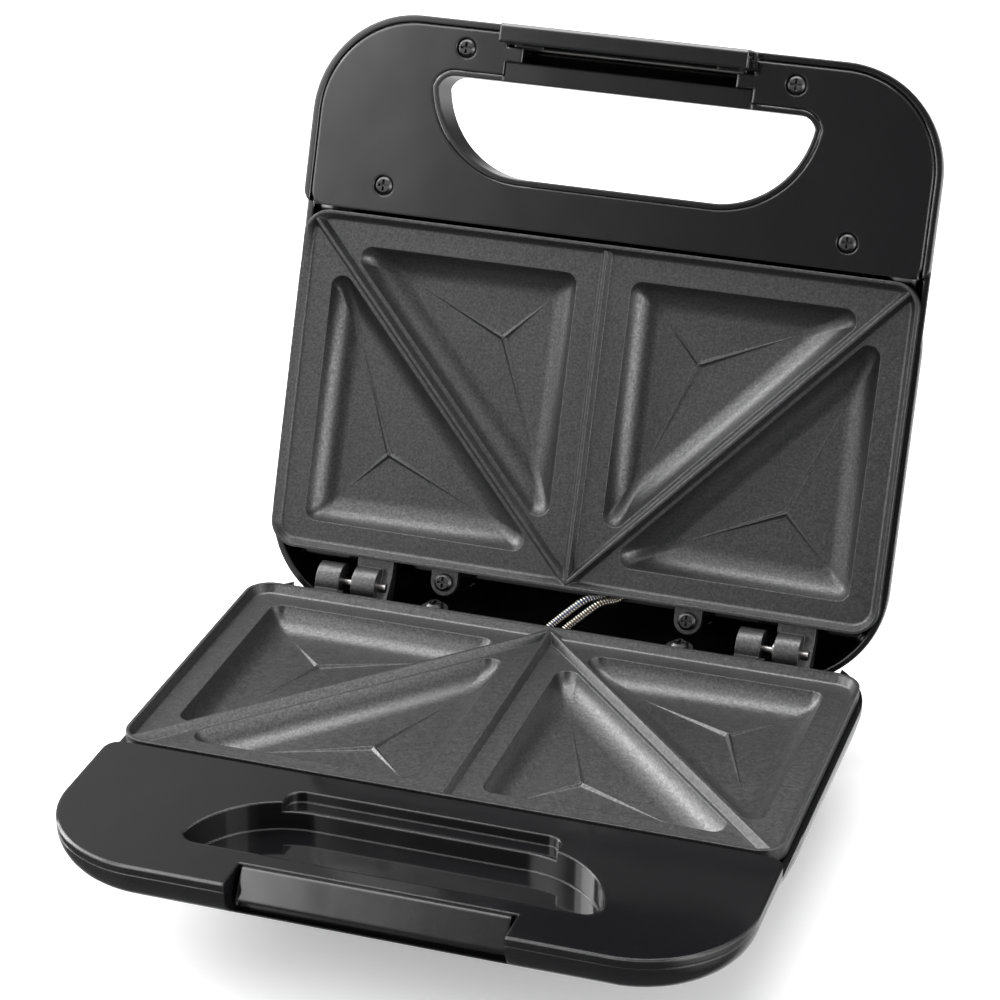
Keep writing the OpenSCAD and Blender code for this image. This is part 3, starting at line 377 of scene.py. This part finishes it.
SPRING_ROUTE = [Vector(p) for p in ((-9.5, -3, -9.9), (-6.9, 2.6, -8.2), (-2.6, 8.5, -4), (2.8, 11.4, 0.9),
                                    (7.9, 14.4, 4.6), (12.6, 19.6, 4.4), (15.2, 26, 6.6))]
SPRING_STEP = Vector((5, 0, -0.7))
SPRING_TURNS = 46     # wound closer than in the CAD source, as in the photograph
POINTS_PER_TURN = 24
SPRING_WIRE = 0.5
SPRING_D = 3.0
LEAD_D = 1.56
STUB = 0.35           # share of a route's end step by which a lead comes out straight
PIECES_PER_STEP = 10  # of a lead, between two points of its route
OPEN = math.radians(110.4)
AXIS_Y, AXIS_Z = 9.5, -0.9


def opened(p):
    """Where a point of the shut lid lies when the lid is open."""
    y, z = p[1] - AXIS_Y, p[2] - AXIS_Z
    return Vector((p[0], AXIS_Y + y * math.cos(OPEN) + z * math.sin(OPEN),
                   AXIS_Z - y * math.sin(OPEN) + z * math.cos(OPEN)))


def wound_wire(offset):
    """Centre line of a wire spring."""
    points = [p + offset for p in SPRING_ROUTE]
    count = SPRING_TURNS * POINTS_PER_TURN
    r = (SPRING_D - SPRING_WIRE) / 2
    n = len(points) - 1
    line = []
    for k, u in enumerate(even_parameters(points, count)):
        ahead, behind = smooth_curve(points, min(u + 0.02, n)), smooth_curve(points, max(u - 0.02, 0))
        t = (ahead - behind).normalized()
        across = Vector((0, 0, 1)).cross(t).normalized()
        a = 2 * math.pi * k / POINTS_PER_TURN
        line.append(smooth_curve(points, u) + r * (math.cos(a) * across + math.sin(a) * t.cross(across)))
    return [row(*p) for p in line]


def make_springs():
    """The two wire springs between base and lid, and the insulated lead that runs in each."""
    below = [Vector(p) for p in ((-34, -10.5, -31), (-22, -4.5, -27), (-13, -3.4, -17.5))]
    above = {"left": [(4, -4.2, 15.2), (-14, -3.6, 16.4), (-33.4, -2.2, 17.2)],
             "right": [(25, -4, 15), (33.4, -2.2, 17.2)]}
    for side, offset in (("left", Vector((0, 0, 0))), ("right", SPRING_STEP)):
        wire = wound_wire(offset)
        spring = tube(f"{side}_wound_guard", wire, SPRING_WIRE / 2 * MM, 10, MATERIALS["nickel"])
        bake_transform(spring)
        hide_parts(f"{side}_wire_spring")
        route = [p + offset for p in SPRING_ROUTE]
        low = [p + offset for p in below] + [route[0] - STUB * (route[1] - route[0])]
        high = [route[-1] + STUB * (route[-1] - route[-2])] + [opened(p) for p in above[side]]
        line = [smooth_curve(part, k / PIECES_PER_STEP) for part in (low, route, high)
                for k in range(PIECES_PER_STEP * (len(part) - 1) + 1)]
        slot = "lead_blue" if side == "left" else "lead_brown"
        lead = tube(f"{side}_lead", [row(*p) for p in line], LEAD_D / 2 * MM, 14, MATERIALS[slot])
        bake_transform(lead)
        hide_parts(f"{side}_lid_wire")


# ---------------------------------------------------------------- floor and lights
MIDDLE = (0, 0, 0.1)
FLOOR_HALF = 6


def make_floor():
    """A plain pale floor, kept out of reflections: the photograph's black sides mirror no white floor."""
    bm = bmesh.new()
    bmesh.ops.create_grid(bm, x_segments=1, y_segments=1, size=FLOOR_HALF)
    mesh = bpy.data.meshes.new("floor")
    bm.to_mesh(mesh)
    bm.free()
    m = Nodes("floor_white")
    n = m.noise(3, 2)
    m.set(Base_Color=m.ramp(n, [(0.2, (0.93, 0.93, 0.93)), (0.8, (0.95, 0.95, 0.95))]), Roughness=0.9)
    m.set(Emission_Color=(1, 1, 1, 1), Emission_Strength=0.3)
    mesh.materials.append(m.mat)
    floor = bpy.data.objects.new("floor", mesh)
    bpy.context.scene.collection.objects.link(floor)
    floor.visible_glossy = False


def area(name, place, size, size_y, power):
    """A rectangular light that points at the middle of the toaster."""
    data = bpy.data.lights.new(name, "AREA")
    data.shape = "RECTANGLE"
    data.size = size
    data.size_y = size_y
    data.energy = power
    obj = bpy.data.objects.new(name, data)
    bpy.context.scene.collection.objects.link(obj)
    obj.location = place
    obj.rotation_mode = "QUATERNION"
    obj.rotation_quaternion = (Vector(place) - Vector(MIDDLE)).to_track_quat("Z", "Y")


def make_world():
    """A dim studio: a soft wall of light on the left and a panel in front of it, with light from the
    right, from above and, faintly, from behind below the horizon."""
    world = bpy.data.worlds.new("studio")
    bpy.context.scene.world = world
    world.use_nodes = True
    tree = world.node_tree
    new, link = tree.nodes.new, tree.links.new

    def span(value, a, b, lo, hi):
        n = new("ShaderNodeMapRange")
        n.interpolation_type = "SMOOTHSTEP"
        for key, v in (("From Min", a), ("From Max", b), ("To Min", lo), ("To Max", hi)):
            n.inputs[key].default_value = v
        link(value, n.inputs["Value"])
        return n.outputs["Result"]

    def math_node(op, a, b):
        n = new("ShaderNodeMath")
        n.operation = op
        for i, v in enumerate((a, b)):
            if isinstance(v, (int, float)):
                n.inputs[i].default_value = v
            else:
                link(v, n.inputs[i])
        return n.outputs["Value"]

    xyz = new("ShaderNodeSeparateXYZ")
    link(new("ShaderNodeTexCoord").outputs["Generated"], xyz.inputs[0])
    x, y, z = (xyz.outputs[k] for k in "XYZ")

    def product(*values):
        out = values[0]
        for v in values[1:]:
            out = math_node("MULTIPLY", out, v)
        return out

    wall = product(span(x, -0.15, -0.52, 0, 1), span(y, 0.2, -0.5, 0.5, 1.0))
    panel = product(span(x, -0.27, -0.38, 0, 3.6), span(y, -0.3, -0.6, 0, 1), span(z, 0.22, 0.52, 0, 1))
    right = product(span(x, 0.5, 0.9, 0, 5.5), span(y, 0.5, -0.3, 0.5, 1), span(z, 0.3, 0.08, 0.2, 1))
    above = span(z, 0.62, 0.9, 0, 0.9)
    upper = math_node("ADD", math_node("ADD", wall, panel), math_node("ADD", right, above))
    lower = product(span(y, 0.35, 0.8, 0, 0.7), span(z, -0.05, -0.2, 0, 1))
    total = math_node("ADD", math_node("ADD", product(upper, span(z, -0.3, 0.02, 0.12, 1)), lower), 0.08)
    sky = tree.nodes["Background"]
    sky.inputs["Color"].default_value = (1, 1, 1, 1)
    link(total, sky.inputs["Strength"])


def make_lights():
    area("key_left", (-1.5, 0.1, 1.3), 1.1, 1.1, 22)
    area("top_back", (-0.2, 0.5, 1.9), 1.8, 1.4, 36)
    area("side_left", (-1.0, 0.12, 0.2), 0.45, 1.1, 9)
    area("fill_right", (1.5, -0.8, 0.9), 0.7, 1.2, 3)
    bpy.context.scene.view_settings.view_transform = "Standard"


make_camera()
dress_nodes()
make_springs()
make_floor()
make_world()
make_lights()
